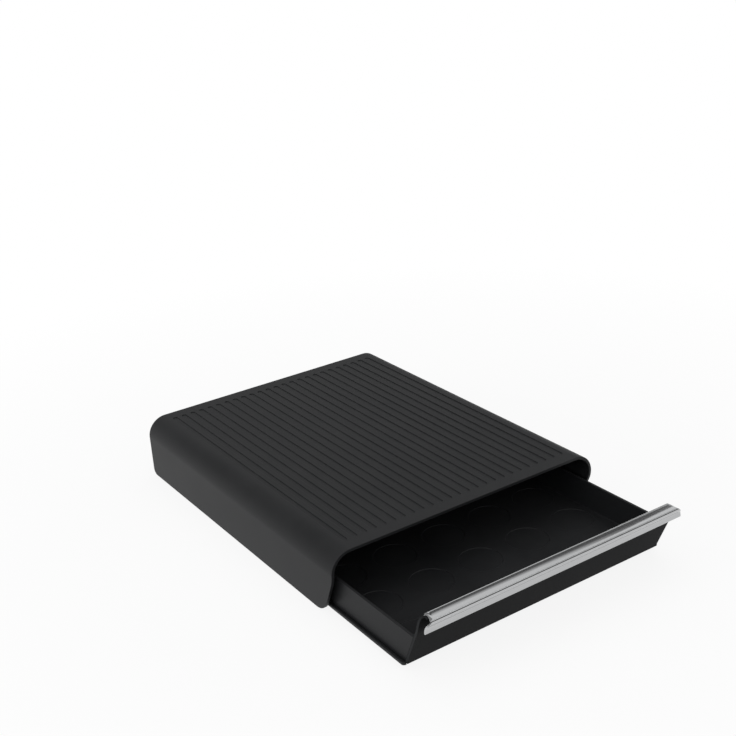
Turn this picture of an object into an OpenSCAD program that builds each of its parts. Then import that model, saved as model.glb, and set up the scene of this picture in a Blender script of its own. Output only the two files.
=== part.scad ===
// Drawer for single-serve coffee pods, made to stand under a coffee maker.
// Millimetres. X runs across, -Y is the front, +Z is up, and Z = 0 is the counter.
// The drawer is drawn pulled out by rest_open, which is the rest pose.

/* [Pods] */
// Columns of pods, side by side
pod_columns = 5; // [3:1:6]
// Rows of pods, front to back
pod_rows = 6; // [4:1:7]
// Diameter of a pod's lid
pod_lid_d = 51; // [48:0.5:54]
// Diameter of a pod's base
pod_base_d = 37; // [33:0.5:39]
// Height of a pod
pod_h = 44.5; // [42:0.5:50]
// Gap between two lids, side by side
lid_gap_x = 1; // [0.5:0.1:4]
// Gap between two lids, front to back
lid_gap_y = 0.6; // [0.4:0.1:4]

/* [Cover] */
// Wall of the cover
cover_wall = 2.7; // [2.2:0.1:3.2]
// Outer radius of the cover's long top corners
cover_corner_r = 19; // [12:0.5:22]
// Room between the lids and the deck's underside
head_room = 4.3; // [2.5:0.1:10]
// Height at which the side wall's front edge begins to lean back
edge_top_z = 42.5; // [38:0.5:46]
// Radius of the side wall's lower front corner
edge_foot_r = 18; // [10:0.5:20]
// Radius of the side wall's lower rear corner
edge_heel_r = 6; // [3:0.5:9]
// Width of the ledge inside the cover that carries the base plate
ledge_w = 3; // [2:0.1:4]
// Thickness of that ledge
ledge_t = 1.2; // [1:0.1:1.3]
// How far the base plate's edge reaches into the cover's wall
tongue_w = 1.2; // [0.8:0.1:1.4]

/* [Deck grooves] */
// Spacing of the grooves
groove_pitch = 9.6; // [7:0.1:14]
// Width of a groove
groove_w = 4.6; // [2:0.1:6]
// Depth of a groove
groove_depth = 0.8; // [0.4:0.1:1.2]
// Plain margin in front of and behind the grooves
groove_margin = 13; // [8:0.5:30]
// Least plain margin beside the grooves
groove_side = 20.4; // [16:0.2:30]

/* [Base and feet] */
// How far the feet stand below the cover
foot_proud = 1.2; // [0.8:0.1:3]
// Diameter of a foot
foot_d = 16; // [10:0.5:20]
// Depth of the pocket that holds a foot
foot_pocket = 0.8; // [0.5:0.1:1]
// Distance from a foot's centre to the base plate's side edge
foot_inset_x = 24; // [22:0.5:40]
// Distance from a foot's centre to the base plate's front or rear edge
foot_inset_y = 22; // [20:0.5:60]
// Thickness of the base plate
base_t = 2; // [1.8:0.1:3]
// Distance from the cover's front to the base plate's front edge
base_setback = 30; // [29:0.5:40]

/* [Rear panel] */
// Thickness of the rear panel
rear_t = 2.4; // [1.8:0.1:3.2]
// How deep the rear panel sits inside the cover's rear edge
rear_inset = 2.6; // [2:0.1:6]
// Space between the closed tray and the rear panel
rear_space = 5.2; // [5:0.1:12]
// Depth of the rear panel's bottom flange
flange_d = 8; // [7:0.5:12]

/* [Guides and runners] */
// Thickness of a guide's web and flanges
guide_t = 1.4; // [1.1:0.1:1.6]
// Width of a guide's lower flange under the tray
guide_under = 8; // [7:0.5:12]
// Height of a runner
runner_h = 2.6; // [2:0.1:4]
// How far a runner stands out from the tray
runner_out = 3.2; // [2.4:0.1:4]
// Running clearance around a runner
run_clear = 0.4; // [0.3:0.05:0.6]
// Length of the tab at a guide's front end
tab_l = 4; // [3:0.5:6]
// Height of the tab and of the stop that meets it
stop_h = 7; // [5:0.5:10]
// Length of a stop
stop_l = 10; // [6:0.5:16]
// Gap left at either end of the travel
end_gap = 0.3; // [0.3:0.1:0.6]

/* [Drawer] */
// How far the drawer stands open at rest
rest_open = 104; // [40:1:160]
// Travel from closed to the stops
full_travel = 250; // [170:1:260]
// Wall of the tray's sides
tray_wall = 2.4; // [1.8:0.1:3]
// Wall of the tray's front
tray_front_wall = 1.6; // [1.4:0.1:2.4]
// Wall of the tray's rear
tray_rear_wall = 2.2; // [1.8:0.1:3]
// Thickness of the tray's floor
floor_t = 1.6; // [1.4:0.1:2.4]
// How far the floor stands above the lower edges of the tray's walls
floor_lift = 2.6; // [1:0.1:4]
// Height of the tray's walls above its floor
tray_wall_h = 25.6; // [20:0.1:28]
// How far a lid overhangs the tray's side wall
lid_overhang = 0.9; // [0:0.1:1]
// Distance from the front panel's upright face to the first row of lids
front_room = 14.6; // [14:0.1:24]
// Distance from the last row of lids to the tray's rear wall
rear_room = 0.2; // [0.2:0.1:10]
// Depth of the round seat under each pod
seat_depth = 0.6; // [0.3:0.1:0.8]
// Gap around a pod's base in its seat
seat_gap = 0.5; // [0.3:0.1:1]

/* [Front panel] */
// Thickness of the front panel
panel_t = 2.6; // [2.2:0.1:3.4]
// Height of the panel's lower edge above the counter
panel_bottom_z = 5.2; // [4:0.1:7]
// Lean of the panel and of the cover's side edges
lean_a = 24; // [15:0.5:26]
// Radius of the bend between the lean and the upright
bend_r = 25; // [15:1:35]
// Height at which the panel becomes upright
upright_z = 50.5; // [46:0.5:51.5]
// Front radius of the curl at the panel's top
curl_r = 2; // [1.5:0.1:2.4]
// Turn of the curl up to the handle's rear edge, in degrees
curl_a = 50; // [40:1:60]
// Radius of the panel's lower corners
panel_low_r = 3; // [2:0.5:9]
// Radius of the upper corners of the panel and the handle
panel_high_r = 12; // [11:0.5:13]
// How far those corners' circles rise above the handle
corner_rise = 0.2; // [0:0.1:0.4]
// Gap between the handle's top and the deck's underside
handle_top_gap = 0.2; // [0.2:0.1:2]

/* [Handle strip] */
// Thickness of the strip's sheet
strip_t = 1.4; // [1:0.1:1.6]
// Radius of the strip's rolled top
roll_r = 18; // [14:0.5:24]
// Turn of the rolled top, in degrees
roll_a = 25; // [18:1:30]
// Radius of the strip's nose
nose_r = 1.6; // [1.6:0.1:2.4]
// Lean of the strip's face below the nose
face_a = 33; // [20:1:38]
// Length of the leaning face
face_l = 2.8; // [2:0.1:4]
// Radius of the bend below the leaning face
face_bend_r = 5; // [4:0.5:8]
// Length of the upright foot of the strip
strip_foot_l = 3.2; // [2:0.1:6]
// Turn of the panel's lip under the rolled top, in degrees
lip_a = 10; // [6:1:14]

/* [Screws and bumpers] */
// Shank diameter of every screw
screw_d = 2.6; // [2.2:0.1:3]
// Head diameter of every screw
head_d = 5.6; // [4.8:0.1:6]
// Height of a screw's head
head_h = 1.3; // [1:0.1:1.5]
// Screws in each guide
guide_screw_count = 4; // [2:1:6]
// Screws along the front panel
panel_screw_count = 4; // [2:1:4]
// Skin left in front of a panel screw's tip
panel_skin = 0.8; // [0.6:0.1:1.2]
// Height of the panel screws above the counter
panel_screw_z = 20.5; // [17:0.5:22.5]
// Screws along the rear panel's top, and along its flange
rear_screw_count = 3; // [2:1:5]
// Length of a rear screw in its block
rear_screw_l = 3.8; // [2.4:0.1:4.2]
// Width and height of the blocks that take the rear screws
block_size = 9; // [8:0.5:11]
// Length of those blocks
block_l = 4.8; // [4.5:0.1:4.9]
// Diameter of a bumper
bumper_d = 11; // [8:0.5:14]
// Distance from the middle to a bumper
bumper_x = 78; // [40:1:90]
// Height of a bumper's middle
bumper_z = 23.5; // [20:0.5:26]

/* [Fits] */
// Clearance around parts that are slid or laid in place
fit_gap = 0.2; // [0.1:0.05:0.3]
// Clearance around a screw's shank and head
screw_gap = 0.05; // [0.02:0.01:0.1]

/* [Hidden] */
$fn = 96;
ARC_STEPS = 8;
EPS = 1;

// Heights, stacked up from the counter
cover_bottom_z = foot_proud;
ledge_top_z = cover_bottom_z + ledge_t;
base_bottom_z = cover_bottom_z + fit_gap;
base_top_z = base_bottom_z + base_t;
guide_floor_z = base_top_z + guide_t;
runner_bottom_z = guide_floor_z + run_clear;
runner_top_z = runner_bottom_z + runner_h;
guide_lip_z = runner_top_z + run_clear;
guide_top_z = guide_lip_z + guide_t;
stop_bottom_z = guide_top_z + run_clear;
tray_bottom_z = guide_floor_z + run_clear;
floor_under_z = tray_bottom_z + floor_lift;
floor_z = floor_under_z + floor_t;
seat_z = floor_z - seat_depth;
tray_top_z = floor_z + tray_wall_h;
lid_z = seat_z + pod_h;
deck_under_z = lid_z + head_room;
deck_z = deck_under_z + cover_wall;
handle_top_z = deck_under_z - handle_top_gap;
outline_top_z = handle_top_z + corner_rise;
block_z = deck_under_z - block_size / 2;

// Widths, worked out from the pods to the cover
pitch_x = pod_lid_d + lid_gap_x;
pitch_y = pod_lid_d + lid_gap_y;
tray_in_w = (pod_columns - 1) * pitch_x + pod_lid_d - 2 * lid_overhang;
tray_w = tray_in_w + 2 * tray_wall;
runner_x = tray_w / 2 + runner_out;
web_in_x = runner_x + run_clear;
web_out_x = web_in_x + guide_t;
cover_in_w = 2 * (web_out_x + fit_gap);
cover_w = cover_in_w + 2 * cover_wall;
lip_in_x = tray_w / 2 + run_clear;

// Lengths, worked out from the pods to the cover
first_row_y = front_room + pod_lid_d / 2;
tray_rear_in = first_row_y + (pod_rows - 1) * pitch_y + pod_lid_d / 2 + rear_room;
drawer_l = tray_rear_in + tray_rear_wall;
cover_d = drawer_l + rear_space + rear_t + rear_inset;

// The front panel's section: Y = 0 is its upright face, and -Y is the front
lean_h = upright_z - panel_bottom_z;
lean_l = (lean_h - bend_r * sin(lean_a)) / cos(lean_a);
lean_run = lean_l * sin(lean_a) + bend_r * (1 - cos(lean_a));
upright_l = handle_top_z - panel_t - curl_r - upright_z;
panel_start = [lean_run, panel_bottom_z, 90 + lean_a];
panel_moves = [
    [lean_l, 0, 0],
    [0, bend_r, -lean_a],
    [upright_l, 0, 0],
    [0, curl_r, curl_a]
];
lip_moves = [[0, curl_r, 90 - curl_a], [0, roll_r - panel_t, lip_a]];
panel_path = trace(panel_start, panel_moves);
lip_path = trace(panel_path[len(panel_path) - 1], lip_moves);

// The handle's section, which goes on from the panel's outer face
curl_out_r = curl_r + panel_t;
strip_start = [
    curl_out_r * cos(curl_a) - curl_r,
    handle_top_z - curl_out_r * (1 - sin(curl_a)),
    90 + curl_a
];
strip_moves = [
    [0, curl_out_r, 90 - curl_a],
    [0, roll_r, lip_a],
    [0, roll_r, roll_a - lip_a],
    [0, nose_r, 90 + face_a - roll_a],
    [face_l, 0, 0],
    [0, face_bend_r, -face_a],
    [strip_foot_l, 0, 0]
];
strip_path = trace(strip_start, strip_moves);
handle_reach = -min([for (s = strip_path) s.x]);

// Places along Y in the whole object, centred at rest
total_d = cover_d + rest_open + handle_reach;
back_y = total_d / 2;
front_y = back_y - cover_d;
drawer_y = front_y - rest_open;
rear_in_y = back_y - rear_inset - rear_t;
base_front_y = front_y + base_setback;
base_back_y = back_y - rear_inset;
base_half_w = cover_in_w / 2 + tongue_w - fit_gap;
guide_back_y = rear_in_y - flange_d - fit_gap;
guide_l = guide_back_y - base_front_y;
guide_screw_x = tray_w / 2 - guide_under / 2;
foot_front_y = base_front_y + foot_inset_y;
foot_rear_y = base_back_y - foot_inset_y;

// ---- Paths: a state is [y, z, heading], and a move is [length, radius, turn] ----

// The state after a share k of one move
function advance(s, m, k) =
    m[1] == 0
    ? [s.x + m[0] * k * cos(s.z), s.y + m[0] * k * sin(s.z), s.z]
    : let (side = sign(m[2]), h = s.z + m[2] * k)
      [
          s.x - side * m[1] * (sin(s.z) - sin(h)),
          s.y + side * m[1] * (cos(s.z) - cos(h)),
          h
      ];

// All the states along a list of moves
function trace(s, moves, i = 0) =
    i == len(moves)
    ? [s]
    : let (n = moves[i][1] == 0 ? 1 : ARC_STEPS)
      concat(
          [for (k = [0 : n - 1]) advance(s, moves[i], k / n)],
          trace(advance(s, moves[i], 1), moves, i + 1)
      );

// The path's points, moved to its right-hand side by off
function edge(states, off) = [for (s = states) [s.x + off * sin(s.z), s.y - off * cos(s.z)]];

// The points in the opposite order
function backwards(points) = [for (i = [len(points) - 1 : -1 : 0]) points[i]];

// ---- Helpers ----

// Extrudes a shape drawn in [y, z] across the width w, about the middle
module across(w) {
    translate([-w / 2, 0, 0])
        rotate([90, 0, 90])
            linear_extrude(w)
                children();
}

// Extrudes a shape drawn in [x, z] from y0 to y1
module along(y0, y1) {
    translate([0, y1, 0])
        rotate([90, 0, 0])
            linear_extrude(y1 - y0)
                children();
}

// An arch in [x, z]: flat below, with round upper corners
module arch(w, z0, z1, r) {
    translate([-w / 2, z0])
        square([w, z1 - r - z0]);
    translate([r - w / 2, z0])
        square([w - 2 * r, z1 - z0]);
    for (side = [-1, 1])
        translate([side * (w / 2 - r), z1 - r])
            circle(r);
}

// The front outline that the panel and the handle share, in [x, z]
module front_outline() {
    low_z = panel_bottom_z + panel_low_r;
    arch(tray_w, low_z, outline_top_z, panel_high_r);
    translate([panel_low_r - tray_w / 2, panel_bottom_z])
        square([tray_w - 2 * panel_low_r, panel_low_r]);
    for (side = [-1, 1])
        translate([side * (tray_w / 2 - panel_low_r), low_z])
            circle(panel_low_r);
}

// Everything in front of the face that lies off behind the panel's own face, in [y, z]
module ahead_of(off) {
    top = 2 * deck_z;
    states = trace(panel_start, [panel_moves[0], panel_moves[1], [top - upright_z, 0, 0]]);
    polygon(concat(
        edge(states, off),
        [[-handle_reach - EPS, top], [-handle_reach - EPS, 0], [lean_run, 0]]
    ));
}

// Moves children from the drawer's own frame to its place at rest
module in_drawer() {
    translate([0, drawer_y, 0])
        children();
}

// A countersunk screw that points up, with its head's flat face at z = 0
module flat_screw(len, gap = 0) {
    cylinder(h = head_h, r1 = head_d / 2 + gap, r2 = screw_d / 2 + gap);
    cylinder(h = len, r = screw_d / 2 + gap);
}

// A round-headed screw that points up, with its head's seat at z = 0
module round_screw(len, gap = 0) {
    translate([0, 0, -head_h])
        cylinder(h = head_h, r = head_d / 2 + gap);
    cylinder(h = len, r = screw_d / 2 + gap);
}

// Places of the screws that hold one guide
module at_guide_screws(side) {
    for (i = [0 : guide_screw_count - 1])
        translate([
            side * guide_screw_x,
            base_front_y + guide_l * (i + 0.5) / guide_screw_count,
            base_bottom_z
        ])
            children();
}

// The place across of one of the screws along the rear panel
function rear_screw_x(i) = (i - (rear_screw_count - 1) / 2) * tray_w / rear_screw_count;

// Places of the screws that hold the base plate to the rear panel
module at_base_screws() {
    for (i = [0 : rear_screw_count - 1])
        translate([rear_screw_x(i), rear_in_y - flange_d / 2, base_bottom_z])
            children();
}

// Places of the screws that hold the rear panel, pointing to the front
module at_rear_screws() {
    for (i = [0 : rear_screw_count - 1])
        translate([rear_screw_x(i), rear_in_y + rear_t, block_z])
            rotate([90, 0, 0])
                children();
}

// Places of the screws that hold the front panel, square to its lean
module at_panel_screws() {
    off = panel_t + tray_front_wall;
    y = lean_run - (panel_screw_z - panel_bottom_z) * tan(lean_a);
    for (i = [0 : panel_screw_count - 1])
        translate([(i - (panel_screw_count - 1) / 2) * pitch_x, y, panel_screw_z])
            rotate([90 + lean_a, 0, 0])
                translate([0, 0, -off])
                    children();
}

// The place of a foot's centre on the counter
function foot_place(side, y) = [side * (base_half_w - foot_inset_x), y, 0];

// ---- Housing ----

// The side wall's front edge, in [y, z], as the region that is cut away
module front_cut() {
    drop = edge_top_z - cover_bottom_z;
    bend_h = bend_r * sin(lean_a);
    foot_h = edge_foot_r * (1 - sin(lean_a));
    straight = (drop - bend_h - foot_h) / cos(lean_a);
    states = trace([0, edge_top_z, -90], [
        [0, bend_r, lean_a],
        [straight, 0, 0],
        [0, edge_foot_r, 90 - lean_a]
    ]);
    last = states[len(states) - 1];
    polygon(concat(
        [[-EPS, edge_top_z]],
        edge(states, 0),
        [[last.x, cover_bottom_z - EPS], [-EPS, cover_bottom_z - EPS]]
    ));
}

// The side wall's lower rear corner, in [y, z], as the region that is cut away
module rear_cut() {
    difference() {
        translate([-edge_heel_r, cover_bottom_z - EPS])
            square([edge_heel_r + EPS, edge_heel_r + EPS]);
        translate([-edge_heel_r, cover_bottom_z + edge_heel_r])
            circle(edge_heel_r);
    }
}

// The long channels in the deck
module grooves() {
    free_w = cover_w - 2 * groove_side - groove_w;
    gaps = floor(free_w / groove_pitch + 0.001);
    groove_l = cover_d - 2 * groove_margin;
    for (i = [0 : gaps])
        translate([
            (i - gaps / 2) * groove_pitch - groove_w / 2,
            front_y + groove_margin,
            deck_z - groove_depth
        ])
            cube([groove_w, groove_l, groove_depth + EPS]);
}

// The blocks under the deck that take the rear panel's screws
module screw_blocks() {
    for (i = [0 : rear_screw_count - 1])
        translate([rear_screw_x(i) - block_size / 2, rear_in_y - block_l, deck_under_z - block_size])
            cube([block_size, block_l, block_size + cover_wall / 2]);
}

module housing_cover() {
    inner_r = cover_corner_r - cover_wall;
    color("#2e2f31")
        difference() {
            union() {
                difference() {
                    along(front_y, back_y)
                        arch(cover_w, cover_bottom_z, deck_z, cover_corner_r);
                    along(front_y - EPS, back_y + EPS)
                        arch(cover_in_w, cover_bottom_z - EPS, deck_under_z, inner_r);
                }
                for (side = [0, 1])
                    mirror([side, 0, 0])
                        translate([cover_in_w / 2 - ledge_w, base_front_y, cover_bottom_z])
                            cube([
                                ledge_w + cover_wall / 2,
                                back_y - edge_heel_r - base_front_y,
                                ledge_t
                            ]);
                screw_blocks();
            }
            for (side = [0, 1])
                mirror([side, 0, 0])
                    translate([cover_in_w / 2 - EPS, base_front_y, ledge_top_z])
                        cube([
                            tongue_w + EPS,
                            cover_d,
                            base_top_z - ledge_top_z
                        ]);
            translate([0, front_y, 0])
                across(cover_w + 2 * EPS)
                    front_cut();
            translate([0, back_y, 0])
                across(cover_w + 2 * EPS)
                    rear_cut();
            grooves();
            at_rear_screws()
                cylinder(h = rear_t + rear_screw_l + screw_gap, r = screw_d / 2 + screw_gap);
        }
}

module rear_panel() {
    w = cover_in_w - 2 * fit_gap;
    r = cover_corner_r - cover_wall - fit_gap;
    color("#26272a")
        difference() {
            union() {
                along(rear_in_y, rear_in_y + rear_t)
                    arch(w, base_top_z, deck_under_z - fit_gap, r);
                translate([guide_under - tray_w / 2, rear_in_y - flange_d, base_top_z])
                    cube([tray_w - 2 * guide_under, flange_d + rear_t, guide_t]);
            }
            at_rear_screws()
                round_screw(rear_t + rear_screw_l, screw_gap);
            at_base_screws()
                flat_screw(base_t + guide_t + EPS, screw_gap);
        }
}

module base_plate() {
    rabbet_x = cover_in_w / 2 - ledge_w - fit_gap;
    color("#232427")
        difference() {
            translate([-base_half_w, base_front_y, base_bottom_z])
                cube([2 * base_half_w, base_back_y - base_front_y, base_t]);
            for (side = [0, 1])
                mirror([side, 0, 0])
                    translate([rabbet_x, base_front_y - EPS, base_bottom_z - EPS])
                        cube([
                            base_half_w - rabbet_x + EPS,
                            base_back_y - base_front_y + 2 * EPS,
                            ledge_top_z - base_bottom_z + EPS
                        ]);
            for (side = [-1, 1])
                for (y = [foot_front_y, foot_rear_y])
                    translate(foot_place(side, y))
                        cylinder(h = base_bottom_z + foot_pocket, d = foot_d + fit_gap);
            for (side = [-1, 1])
                at_guide_screws(side)
                    flat_screw(base_t + EPS, screw_gap);
            at_base_screws()
                flat_screw(base_t + EPS, screw_gap);
        }
}

// The right-hand guide: a channel that opens to the drawer, with a tab at its front
module guide() {
    difference() {
        union() {
            translate([tray_w / 2 - guide_under, base_front_y, base_top_z])
                cube([web_out_x - tray_w / 2 + guide_under, guide_l, guide_t]);
            translate([web_in_x, base_front_y, base_top_z])
                cube([guide_t, guide_l, guide_top_z - base_top_z]);
            translate([lip_in_x, base_front_y, guide_lip_z])
                cube([web_out_x - lip_in_x, guide_l, guide_t]);
            translate([lip_in_x, base_front_y, guide_lip_z])
                cube([web_out_x - lip_in_x, tab_l, stop_bottom_z + stop_h - guide_lip_z]);
        }
        at_guide_screws(1)
            flat_screw(base_t + guide_t + EPS, screw_gap);
    }
}

module guide_left() {
    color("#3a3b3e")
        mirror([1, 0, 0])
            guide();
}

module guide_right() {
    color("#3a3b3e")
        guide();
}

module guide_screws() {
    color("#9a9c9f")
        for (side = [-1, 1])
            at_guide_screws(side)
                flat_screw(base_t + guide_t);
}

module base_screws() {
    color("#9a9c9f")
        at_base_screws()
            flat_screw(base_t + guide_t);
}

module rear_screws() {
    color("#9a9c9f")
        at_rear_screws()
            round_screw(rear_t + rear_screw_l);
}

module foot(side, y) {
    color("#161617")
        translate(foot_place(side, y))
            cylinder(h = base_bottom_z + foot_pocket, d = foot_d);
}

module foot_front_left() {
    foot(-1, foot_front_y);
}

module foot_front_right() {
    foot(1, foot_front_y);
}

module foot_rear_left() {
    foot(-1, foot_rear_y);
}

module foot_rear_right() {
    foot(1, foot_rear_y);
}

// ---- Drawer ----

// The round seats in the tray's floor, one under each pod
module seats() {
    for (i = [0 : pod_columns - 1])
        for (j = [0 : pod_rows - 1])
            translate([
                (i - (pod_columns - 1) / 2) * pitch_x,
                first_row_y + j * pitch_y,
                seat_z
            ])
                cylinder(h = seat_depth + EPS, d = pod_base_d + 2 * seat_gap);
}

module drawer_tray() {
    color("#38393c")
        in_drawer()
            difference() {
                across(tray_w)
                    difference() {
                        translate([0, tray_bottom_z])
                            square([drawer_l, tray_top_z - tray_bottom_z]);
                        ahead_of(panel_t);
                    }
                across(tray_in_w)
                    difference() {
                        union() {
                            translate([0, floor_z])
                                square([tray_rear_in, tray_top_z]);
                            square([tray_rear_in, floor_under_z]);
                        }
                        ahead_of(panel_t + tray_front_wall);
                    }
                intersection() {
                    seats();
                    across(tray_in_w)
                        difference() {
                            square([tray_rear_in, tray_top_z]);
                            ahead_of(panel_t + tray_front_wall);
                        }
                }
                at_panel_screws()
                    cylinder(
                        h = 2 * (panel_t + tray_front_wall),
                        r = screw_d / 2 + screw_gap,
                        center = true
                    );
            }
}

// The right-hand runner, along the foot of the tray's side
module runner() {
    start_y = lean_run;
    in_drawer()
        translate([tray_w / 2, start_y, runner_bottom_z])
            cube([runner_out, drawer_l - start_y, runner_h]);
}

module runner_left() {
    color("#46474a")
        mirror([1, 0, 0])
            runner();
}

module runner_right() {
    color("#46474a")
        runner();
}

// The panel's section: leaning, upright, curled forward, and thinner under the handle
module panel_section() {
    polygon(concat(
        edge(panel_path, 0),
        [for (i = [1 : len(lip_path) - 1]) edge(lip_path, 0)[i]],
        backwards(edge(lip_path, panel_t - strip_t)),
        backwards(edge(panel_path, panel_t))
    ));
}

module front_panel() {
    color("#1f2022")
        in_drawer()
            difference() {
                intersection() {
                    across(tray_w)
                        panel_section();
                    along(-handle_reach - EPS, lean_run + 2 * panel_t)
                        front_outline();
                }
                at_panel_screws()
                    cylinder(
                        h = panel_t + tray_front_wall - panel_skin + screw_gap,
                        r = screw_d / 2 + screw_gap
                    );
            }
}

module panel_screws() {
    color("#9a9c9f")
        in_drawer()
            at_panel_screws()
                round_screw(panel_t + tray_front_wall - panel_skin);
}

module handle_strip() {
    color("#c4c5c7")
        in_drawer()
            intersection() {
                across(tray_w)
                    polygon(concat(edge(strip_path, 0), backwards(edge(strip_path, -strip_t))));
                along(-handle_reach - EPS, EPS)
                    front_outline();
            }
}

// The right-hand stop, which meets the guide's tab at the end of the travel
module stop() {
    tab_back_y = base_front_y + tab_l;
    stop_y = tab_back_y + full_travel + end_gap - rest_open;
    translate([tray_w / 2, stop_y, stop_bottom_z])
        cube([web_out_x - run_clear - tray_w / 2, stop_l, stop_h]);
}

module stop_left() {
    color("#515256")
        mirror([1, 0, 0])
            stop();
}

module stop_right() {
    color("#515256")
        stop();
}

// A rubber bumper on the tray's rear wall
module bumper(side) {
    l = rear_space - end_gap;
    tip_l = l / 3;
    color("#161617")
        in_drawer()
            translate([side * bumper_x, drawer_l, bumper_z])
                rotate([-90, 0, 0]) {
                    cylinder(h = l - tip_l, d = bumper_d);
                    cylinder(h = l, d = bumper_d * 0.7);
                }
}

module bumper_left() {
    bumper(-1);
}

module bumper_right() {
    bumper(1);
}

housing_cover();
rear_panel();
base_plate();
guide_left();
guide_right();
guide_screws();
base_screws();
rear_screws();
foot_front_left();
foot_front_right();
foot_rear_left();
foot_rear_right();
drawer_tray();
runner_left();
runner_right();
front_panel();
panel_screws();
handle_strip();
stop_left();
stop_right();
bumper_left();
bumper_right();
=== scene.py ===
import math

import bmesh
import bpy
from mathutils import Matrix, Vector


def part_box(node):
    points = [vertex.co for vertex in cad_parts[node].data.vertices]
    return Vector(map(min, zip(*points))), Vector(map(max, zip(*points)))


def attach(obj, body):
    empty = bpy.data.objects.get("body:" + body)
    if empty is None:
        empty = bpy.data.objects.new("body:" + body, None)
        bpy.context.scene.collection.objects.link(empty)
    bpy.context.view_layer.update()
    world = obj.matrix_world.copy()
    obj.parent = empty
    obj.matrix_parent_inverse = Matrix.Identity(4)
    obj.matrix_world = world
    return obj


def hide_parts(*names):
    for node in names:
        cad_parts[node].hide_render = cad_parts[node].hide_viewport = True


# Drawer for single-serve coffee pods, pulled out 104 mm of the 250 mm that it can travel.
# A piece is drawn in millimetres and turned into metres when it is finished.
# The camera, the floor, the card and the lamps are placed in metres.

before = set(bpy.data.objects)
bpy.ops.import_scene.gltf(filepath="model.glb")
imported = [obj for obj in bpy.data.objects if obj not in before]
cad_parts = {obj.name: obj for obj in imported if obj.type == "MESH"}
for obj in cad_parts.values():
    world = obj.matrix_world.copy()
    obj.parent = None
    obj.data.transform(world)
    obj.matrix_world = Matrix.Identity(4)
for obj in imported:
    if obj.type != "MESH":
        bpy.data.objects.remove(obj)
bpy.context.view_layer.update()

MM = 0.001
scene = bpy.context.scene
scene.view_settings.view_transform = "Standard"


# ---- Camera ----

def add_camera():
    """The camera, at its place around the drawer, with its slight roll."""
    azimuth, elevation, roll = (math.radians(a) for a in (-32.937, 22.355, -3.724))
    target = Vector((0.10976, 0.20099, 0.0533))
    distance = 1.30754
    back = Vector((
        math.sin(azimuth) * math.cos(elevation),
        -math.cos(azimuth) * math.cos(elevation),
        math.sin(elevation),
    ))
    level = Vector((0, 0, 1)).cross(back).normalized()
    upright = back.cross(level)
    right = level * math.cos(roll) + upright * math.sin(roll)
    up = upright * math.cos(roll) - level * math.sin(roll)
    camera = bpy.data.objects.new("camera", bpy.data.cameras.new("camera"))
    camera.data.sensor_width = 36
    camera.data.lens = 59.116
    camera.data.clip_end = 50
    turn = Matrix((right, up, back)).transposed().to_4x4()
    camera.matrix_world = Matrix.Translation(target + back * distance) @ turn
    scene.collection.objects.link(camera)
    scene.camera = camera


add_camera()


# ---- Sizes, in millimetres ----

cover_lo, cover_hi = (Vector(corner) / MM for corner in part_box("housing_cover"))
FRONT_Y, BACK_Y, DECK_Z = cover_lo.y, cover_hi.y, cover_hi.z
COVER_W, COVER_WALL, CORNER_R = 277.8, 2.7, 19.0
COVER_IN_W = COVER_W - 2 * COVER_WALL
COVER_BOTTOM_Z = 1.2
DECK_UNDER_Z = DECK_Z - COVER_WALL
EDGE_TOP_Z, EDGE_FOOT_R, HEEL_R = 42.5, 18.0, 6.0
REAR_IN_Y, REAR_OUT_Y = BACK_Y - 5.0, BACK_Y - 2.6
BLOCK_W, BLOCK_L, FLANGE_L = 9.0, 4.8, 8.0
BASE_FRONT_Y = FRONT_Y + 30.0
BASE_BOTTOM_Z, LEDGE_TOP_Z, BASE_TOP_Z = 1.4, 2.4, 3.4
BASE_HALF = COVER_IN_W / 2 + 1.0
GUIDE_T, GUIDE_L = 1.4, 293.0
GUIDE_IN_X, GUIDE_LIP_X, GUIDE_OUT_X = 123.0, 131.4, 136.0
GUIDE_SCREW_X, GUIDE_SCREW_COUNT = 127.0, 4
TAB_L, STOP_TOP_Z = 4.0, 17.0
OPEN, TRAVEL = 104.0, 250.3

DRAWER_Y = FRONT_Y - OPEN
TRAY_W, TRAY_IN_W = 262.0, 257.2
TRAY_HALF = TRAY_W / 2
TRAY_REAR_Y, TRAY_REAR_IN_Y = DRAWER_Y + 326.0, DRAWER_Y + 323.8
TRAY_BOTTOM_Z, FLOOR_UNDER_Z, FLOOR_Z, TRAY_TOP_Z = 5.2, 7.8, 9.4, 35.0
PODS_ACROSS, PODS_DEEP = 5, 6
PITCH_X, PITCH_Y, FIRST_ROW_Y = 52.0, 51.6, DRAWER_Y + 40.1
RUNNER_H, RUNNER_OUT = 2.6, 3.2
PANEL_T, FRONT_WALL, STRIP_T = 2.6, 1.6, 1.4
PANEL_BOTTOM_Z, UPRIGHT_Z, HANDLE_TOP_Z = 5.2, 50.5, 57.4
LEAN, BEND_R, CURL_R, ROLL_R = 24.0, 25.0, 2.0, 18.0
LEAN_SIN, LEAN_COS, LEAN_TAN = (f(math.radians(LEAN)) for f in (math.sin, math.cos, math.tan))
LEAN_L = (UPRIGHT_Z - PANEL_BOTTOM_Z - BEND_R * LEAN_SIN) / LEAN_COS
LEAN_RUN = LEAN_L * LEAN_SIN + BEND_R * (1 - LEAN_COS)
UPRIGHT_L = HANDLE_TOP_Z - PANEL_T - CURL_R - UPRIGHT_Z
STRIP_A, ROLL_A = 40, 25.0
GROOVE_W, GROOVE_D, GROOVE_AHEAD, GROOVE_BELOW = 1.4, 0.8, 0.14, 0.07
GROOVE_Y = DRAWER_Y - CURL_R - ROLL_R * math.sin(math.radians(ROLL_A)) - GROOVE_AHEAD
GROOVE_Z = HANDLE_TOP_Z - ROLL_R * (1 - math.cos(math.radians(ROLL_A))) - GROOVE_BELOW
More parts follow.
